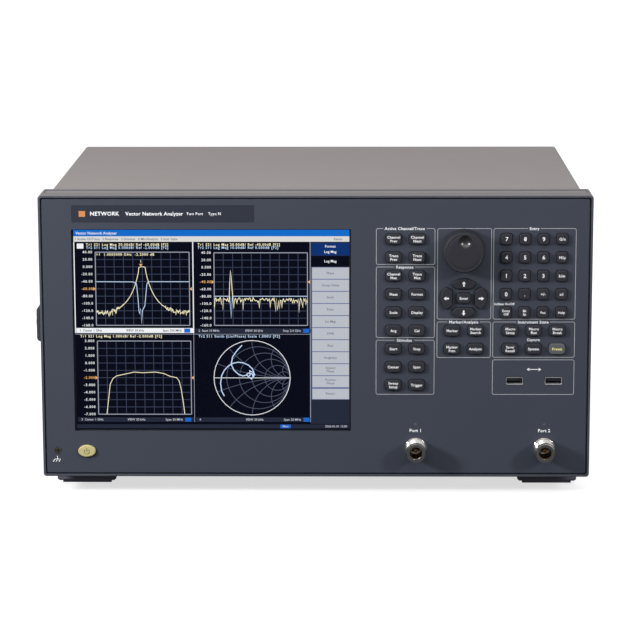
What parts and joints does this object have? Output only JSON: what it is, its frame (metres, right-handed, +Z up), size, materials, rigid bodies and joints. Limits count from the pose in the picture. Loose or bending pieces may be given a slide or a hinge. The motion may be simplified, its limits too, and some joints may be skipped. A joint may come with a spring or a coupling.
{
  "type": "vector network analyzer",
  "caption": "Bench network analyzer with a colour display, grouped keys, a rotary knob, coaxial test ports, a side carrying strap and feet with folding stands.",
  "frame": {"origin": "middle of the overall box at floor level, under the feet", "axes": "+Z up, +X to the right as seen by a user, -Y out of the front panel"},
  "size_m": [0.4346, 0.347, 0.2366],
  "materials": {
    "casting_paint": "satin textured paint",
    "panel_paint": "matte textured paint",
    "cover_paint": "matte textured paint",
    "trim": "matte",
    "nameplate": "satin film",
    "black_plastic": "matte",
    "display_glass": "clear, slightly matte",
    "display_body": "plain sheet",
    "circuit_board": "solder mask",
    "key_rubber": "matte",
    "preset_key": "matte",
    "knob": "fine matte",
    "power_button": "satin",
    "nickel": "bright nickel",
    "gold": "gold plated",
    "dielectric": "plain",
    "lamp": "clear",
    "foot_plastic": "matte",
    "strap": "moulded grain",
    "bare_metal": "passivated sheet",
    "steel_sheet": "zinc plated",
    "steel_wire": "plated wire"
  },
  "bodies": {
    "instrument": {"front_frame": "casting_paint", "front_panel": "panel_paint", "top_trim_strip": "trim", "nameplate": "nameplate", "display_bezel": "black_plastic", "display_window": "display_glass", "display_module": "black_plastic", "front_boards": "circuit_board", "knob_encoder": "bare_metal", "usb_shells": "nickel", "usb_tongues": "black_plastic", "port_connectors": "nickel", "port_insulators": "dielectric", "port_contacts": "gold", "port_cables": "nickel", "port_lamps": "lamp", "ground_jack": "nickel", "top_cover": "cover_paint", "bottom_cover": "cover_paint", "rear_panel": "bare_metal", "cover_screws": "steel_wire", "rear_feet": "foot_plastic", "bottom_feet": "foot_plastic", "handle_caps": "foot_plastic", "handle_strap": "strap", "chassis_deck": "bare_metal", "power_supply": "steel_sheet", "microwave_module": "bare_metal", "processor_board": "circuit_board", "fan_frame": "black_plastic", "power_inlet": "black_plastic", "rear_coax_connectors": "nickel", "rear_data_ports": "nickel"},
    "key_0": {"key_0": "key_rubber"},
    "key_1": {"key_1": "key_rubber"},
    "key_2": {"key_2": "key_rubber"},
    "key_3": {"key_3": "key_rubber"},
    "key_4": {"key_4": "key_rubber"},
    "key_5": {"key_5": "key_rubber"},
    "key_6": {"key_6": "key_rubber"},
    "key_7": {"key_7": "key_rubber"},
    "key_8": {"key_8": "key_rubber"},
    "key_9": {"key_9": "key_rubber"},
    "enter_key": {"enter_key": "key_rubber"},
    "up_key": {"up_key": "key_rubber"},
    "down_key": {"down_key": "key_rubber"},
    "left_key": {"left_key": "key_rubber"},
    "right_key": {"right_key": "key_rubber"},
    "channel_keys": {"channel_keys": "key_rubber"},
    "response_keys": {"response_keys": "key_rubber"},
    "stimulus_keys": {"stimulus_keys": "key_rubber"},
    "marker_keys": {"marker_keys": "key_rubber"},
    "state_keys": {"state_keys": "key_rubber"},
    "entry_function_keys": {"entry_function_keys": "key_rubber"},
    "preset_key": {"preset_key": "preset_key"},
    "power_button": {"power_button": "power_button"},
    "rotary_knob": {"rotary_knob": "knob"},
    "fan_rotor": {"fan_rotor": "black_plastic"},
    "tilt_stand_left": {"tilt_stand_left": "steel_wire"},
    "tilt_stand_right": {"tilt_stand_right": "steel_wire"}
  },
  "joints": [
    {"name": "key_0_press", "type": "slide", "parent": "instrument", "child": "key_0", "axis": [0, 1, 0], "range_m": [0, 0.0012], "stiffness_N_per_m": 250, "springref_m": -0.0006},
    {"name": "key_1_press", "type": "slide", "parent": "instrument", "child": "key_1", "axis": [0, 1, 0], "range_m": [0, 0.0012], "stiffness_N_per_m": 250, "springref_m": -0.0006},
    {"name": "key_2_press", "type": "slide", "parent": "instrument", "child": "key_2", "axis": [0, 1, 0], "range_m": [0, 0.0012], "stiffness_N_per_m": 250, "springref_m": -0.0006},
    {"name": "key_3_press", "type": "slide", "parent": "instrument", "child": "key_3", "axis": [0, 1, 0], "range_m": [0, 0.0012], "stiffness_N_per_m": 250, "springref_m": -0.0006},
    {"name": "key_4_press", "type": "slide", "parent": "instrument", "child": "key_4", "axis": [0, 1, 0], "range_m": [0, 0.0012], "stiffness_N_per_m": 250, "springref_m": -0.0006},
    {"name": "key_5_press", "type": "slide", "parent": "instrument", "child": "key_5", "axis": [0, 1, 0], "range_m": [0, 0.0012], "stiffness_N_per_m": 250, "springref_m": -0.0006},
    {"name": "key_6_press", "type": "slide", "parent": "instrument", "child": "key_6", "axis": [0, 1, 0], "range_m": [0, 0.0012], "stiffness_N_per_m": 250, "springref_m": -0.0006},
    {"name": "key_7_press", "type": "slide", "parent": "instrument", "child": "key_7", "axis": [0, 1, 0], "range_m": [0, 0.0012], "stiffness_N_per_m": 250, "springref_m": -0.0006},
    {"name": "key_8_press", "type": "slide", "parent": "instrument", "child": "key_8", "axis": [0, 1, 0], "range_m": [0, 0.0012], "stiffness_N_per_m": 250, "springref_m": -0.0006},
    {"name": "key_9_press", "type": "slide", "parent": "instrument", "child": "key_9", "axis": [0, 1, 0], "range_m": [0, 0.0012], "stiffness_N_per_m": 250, "springref_m": -0.0006},
    {"name": "enter_key_press", "type": "slide", "parent": "instrument", "child": "enter_key", "axis": [0, 1, 0], "range_m": [0, 0.0012], "stiffness_N_per_m": 250, "springref_m": -0.0006},
    {"name": "up_key_press", "type": "slide", "parent": "instrument", "child": "up_key", "axis": [0, 1, 0], "range_m": [0, 0.0012], "stiffness_N_per_m": 250, "springref_m": -0.0006},
    {"name": "down_key_press", "type": "slide", "parent": "instrument", "child": "down_key", "axis": [0, 1, 0], "range_m": [0, 0.0012], "stiffness_N_per_m": 250, "springref_m": -0.0006},
    {"name": "left_key_press", "type": "slide", "parent": "instrument", "child": "left_key", "axis": [0, 1, 0], "range_m": [0, 0.0012], "stiffness_N_per_m": 250, "springref_m": -0.0006},
    {"name": "right_key_press", "type": "slide", "parent": "instrument", "child": "right_key", "axis": [0, 1, 0], "range_m": [0, 0.0012], "stiffness_N_per_m": 250, "springref_m": -0.0006},
    {"name": "channel_keys_press", "type": "slide", "parent": "instrument", "child": "channel_keys", "axis": [0, 1, 0], "range_m": [0, 0.0012], "stiffness_N_per_m": 250, "springref_m": -0.0006},
    {"name": "response_keys_press", "type": "slide", "parent": "instrument", "child": "response_keys", "axis": [0, 1, 0], "range_m": [0, 0.0012], "stiffness_N_per_m": 250, "springref_m": -0.0006},
    {"name": "stimulus_keys_press", "type": "slide", "parent": "instrument", "child": "stimulus_keys", "axis": [0, 1, 0], "range_m": [0, 0.0012], "stiffness_N_per_m": 250, "springref_m": -0.0006},
    {"name": "marker_keys_press", "type": "slide", "parent": "instrument", "child": "marker_keys", "axis": [0, 1, 0], "range_m": [0, 0.0012], "stiffness_N_per_m": 250, "springref_m": -0.0006},
    {"name": "state_keys_press", "type": "slide", "parent": "instrument", "child": "state_keys", "axis": [0, 1, 0], "range_m": [0, 0.0012], "stiffness_N_per_m": 250, "springref_m": -0.0006},
    {"name": "entry_function_keys_press", "type": "slide", "parent": "instrument", "child": "entry_function_keys", "axis": [0, 1, 0], "range_m": [0, 0.0012], "stiffness_N_per_m": 250, "springref_m": -0.0006},
    {"name": "preset_key_press", "type": "slide", "parent": "instrument", "child": "preset_key", "axis": [0, 1, 0], "range_m": [0, 0.0012], "stiffness_N_per_m": 250, "springref_m": -0.0006},
    {"name": "power_button_press", "type": "slide", "parent": "instrument", "child": "power_button", "axis": [0, 1, 0], "range_m": [0, 0.0012], "stiffness_N_per_m": 250, "springref_m": -0.0006},
    {"name": "knob_turn", "type": "hinge", "parent": "instrument", "child": "rotary_knob", "pos_m": [0.1181, -0.1615, 0.1945], "axis": [0, -1, 0], "continuous": true},
    {"name": "fan_spin", "type": "hinge", "parent": "instrument", "child": "fan_rotor", "pos_m": [-0.1155, 0.1395, 0.1551], "axis": [0, 1, 0], "continuous": true},
    {"name": "tilt_stand_left_fold", "type": "hinge", "parent": "instrument", "child": "tilt_stand_left", "pos_m": [-0.1783, -0.1115, 0.0091], "axis": [-1, 0, 0], "range_deg": [0, 105]},
    {"name": "tilt_stand_right_fold", "type": "hinge", "parent": "instrument", "child": "tilt_stand_right", "pos_m": [0.1873, -0.1115, 0.0091], "axis": [-1, 0, 0], "range_deg": [0, 105]}
  ]
}
